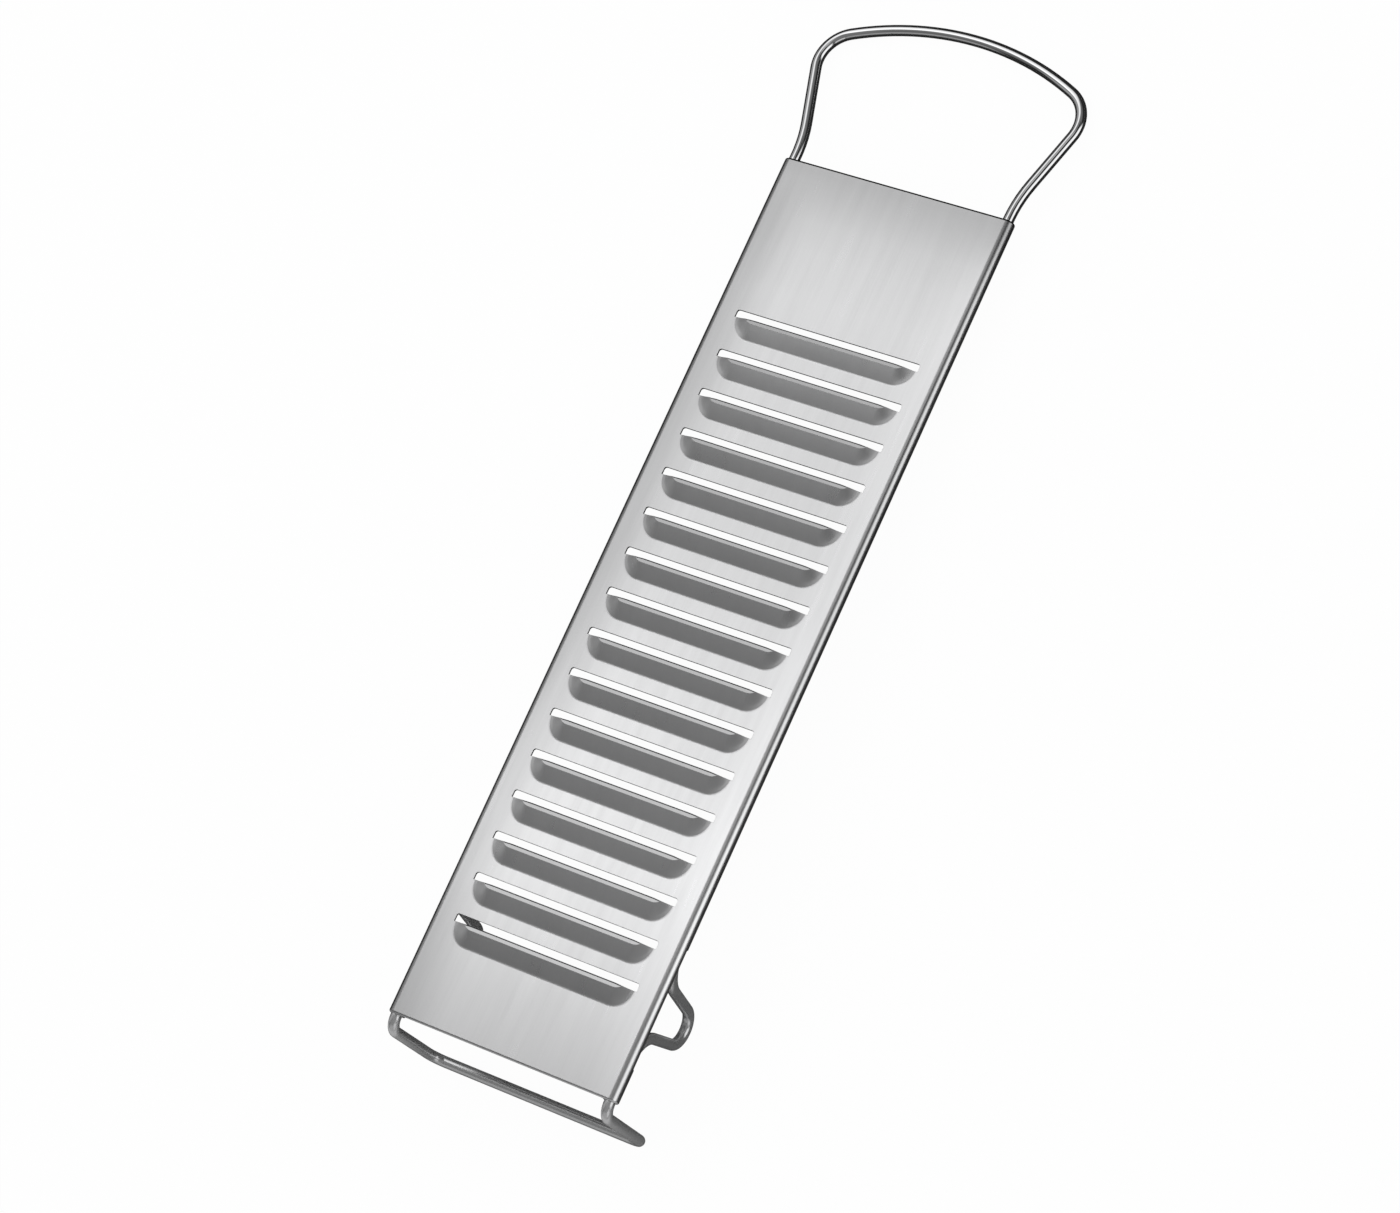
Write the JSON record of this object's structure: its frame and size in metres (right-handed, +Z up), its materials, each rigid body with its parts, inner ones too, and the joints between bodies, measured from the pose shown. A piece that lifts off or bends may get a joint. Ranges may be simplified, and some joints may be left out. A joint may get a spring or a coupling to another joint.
{
  "type": "potato slicer",
  "caption": "Long flat metal slicing plate with a row of raised cross slots, rolled edges on bent wires that form a handle loop, rim hooks and a foot bar.",
  "frame": {"origin": "centre of the resting footprint on the surface under the part, which lies on its back on the foot bar and on the top of the handle", "axes": "+Y along the plate towards the handle, +Z up out of the slicing face, +X to the right seen from the front with the handle up"},
  "size_m": [0.1, 0.3752, 0.0395],
  "materials": {
    "sheet_steel": "fine satin stainless sheet, darker in the pressed ramps",
    "handle_steel": "highly polished stainless wire",
    "foot_steel": "satin stainless wire"
  },
  "bodies": {
    "root": {"slicer_plate": "sheet_steel", "handle_wire": "handle_steel", "foot_wire": "foot_steel"}
  },
  "joints": []
}
